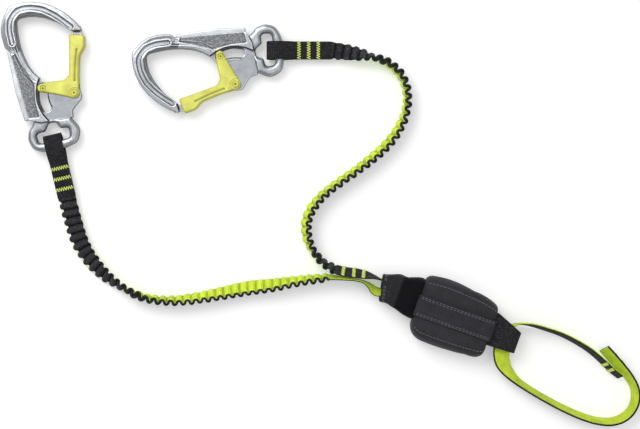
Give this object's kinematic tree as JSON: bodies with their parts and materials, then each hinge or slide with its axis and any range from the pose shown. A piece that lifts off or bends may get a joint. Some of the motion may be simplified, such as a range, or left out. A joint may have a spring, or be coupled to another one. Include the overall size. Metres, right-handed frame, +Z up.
{
  "type": "via ferrata lanyard",
  "caption": "Via ferrata lanyard: palm-squeeze carabiners on elastic webbing legs that join at a pouched tear-webbing energy absorber with a tie-in loop.",
  "frame": {"origin": "on the table under the middle of the pouch, on the pouch's flat base", "axes": "+Z up from the table the lanyard is laid out on, +X to the right of the picture towards the tie-in loop, +Y to the top of the picture"},
  "size_m": [0.5732, 0.3805, 0.029],
  "materials": {
    "forged_aluminium": "polished forging",
    "lever_aluminium": "satin",
    "yellow_anodised": "anodised satin",
    "steel_pin": "turned",
    "black_webbing": "woven",
    "green_webbing": "woven, gathered in ribs",
    "pouch_fabric": "heather weave"
  },
  "bodies": {
    "lanyard": {"leg_a_end_loop": "black_webbing", "leg_b_end_loop": "black_webbing", "leg_a_webbing": "green_webbing", "leg_b_webbing": "green_webbing", "leg_a_tail": "black_webbing", "leg_b_tail": "black_webbing", "neck_sleeve": "pouch_fabric", "absorber_pack": "black_webbing", "pouch_shell": "pouch_fabric", "pouch_band": "pouch_fabric", "outlet_tab": "black_webbing", "tie_in_loop": "green_webbing"},
    "carabiner_a": {"carabiner_a_frame": "forged_aluminium", "carabiner_a_gate_rivet": "steel_pin", "carabiner_a_lever_rivet": "steel_pin", "carabiner_a_gate_spring": "steel_pin", "carabiner_a_lever_spring": "steel_pin"},
    "gate_a": {"carabiner_a_gate": "yellow_anodised", "carabiner_a_lock_pin": "steel_pin"},
    "lever_a": {"carabiner_a_palm_lever": "lever_aluminium"},
    "carabiner_b": {"carabiner_b_frame": "forged_aluminium", "carabiner_b_gate_rivet": "steel_pin", "carabiner_b_lever_rivet": "steel_pin", "carabiner_b_gate_spring": "steel_pin", "carabiner_b_lever_spring": "steel_pin"},
    "gate_b": {"carabiner_b_gate": "yellow_anodised", "carabiner_b_lock_pin": "steel_pin"},
    "lever_b": {"carabiner_b_palm_lever": "lever_aluminium"}
  },
  "joints": [
    {"name": "carabiner_a_swing", "type": "hinge", "parent": "lanyard", "child": "carabiner_a", "pos_m": [-0.3595, 0.154, 0.0069], "axis": [0.9789, 0.2045, 0], "range_deg": [-90, 90]},
    {"name": "gate_a_open", "type": "hinge", "parent": "carabiner_a", "child": "gate_a", "pos_m": [-0.34018, 0.20136, 0.0069], "axis": [0, 0, 1], "range_deg": [0, 35], "stiffness_Nm_per_rad": 0.2, "springref_deg": -28.65},
    {"name": "lever_a_press", "type": "hinge", "parent": "carabiner_a", "child": "lever_a", "pos_m": [-0.39477, 0.23776, 0.0069], "axis": [0, 0, 1], "range_deg": [0, 4], "stiffness_Nm_per_rad": 1, "springref_deg": -2.86},
    {"name": "carabiner_b_swing", "type": "hinge", "parent": "lanyard", "child": "carabiner_b", "pos_m": [-0.1579, 0.2436, 0.0069], "axis": [0.1444, -0.9895, 0], "range_deg": [-90, 90]},
    {"name": "gate_b_open", "type": "hinge", "parent": "carabiner_b", "child": "gate_b", "pos_m": [-0.19573, 0.20918, 0.0069], "axis": [0, 0, -1], "range_deg": [0, 35], "stiffness_Nm_per_rad": 0.2, "springref_deg": -28.65},
    {"name": "lever_b_press", "type": "hinge", "parent": "carabiner_b", "child": "lever_b", "pos_m": [-0.24868, 0.24793, 0.0069], "axis": [0, 0, -1], "range_deg": [0, 4], "stiffness_Nm_per_rad": 1, "springref_deg": -2.86}
  ]
}
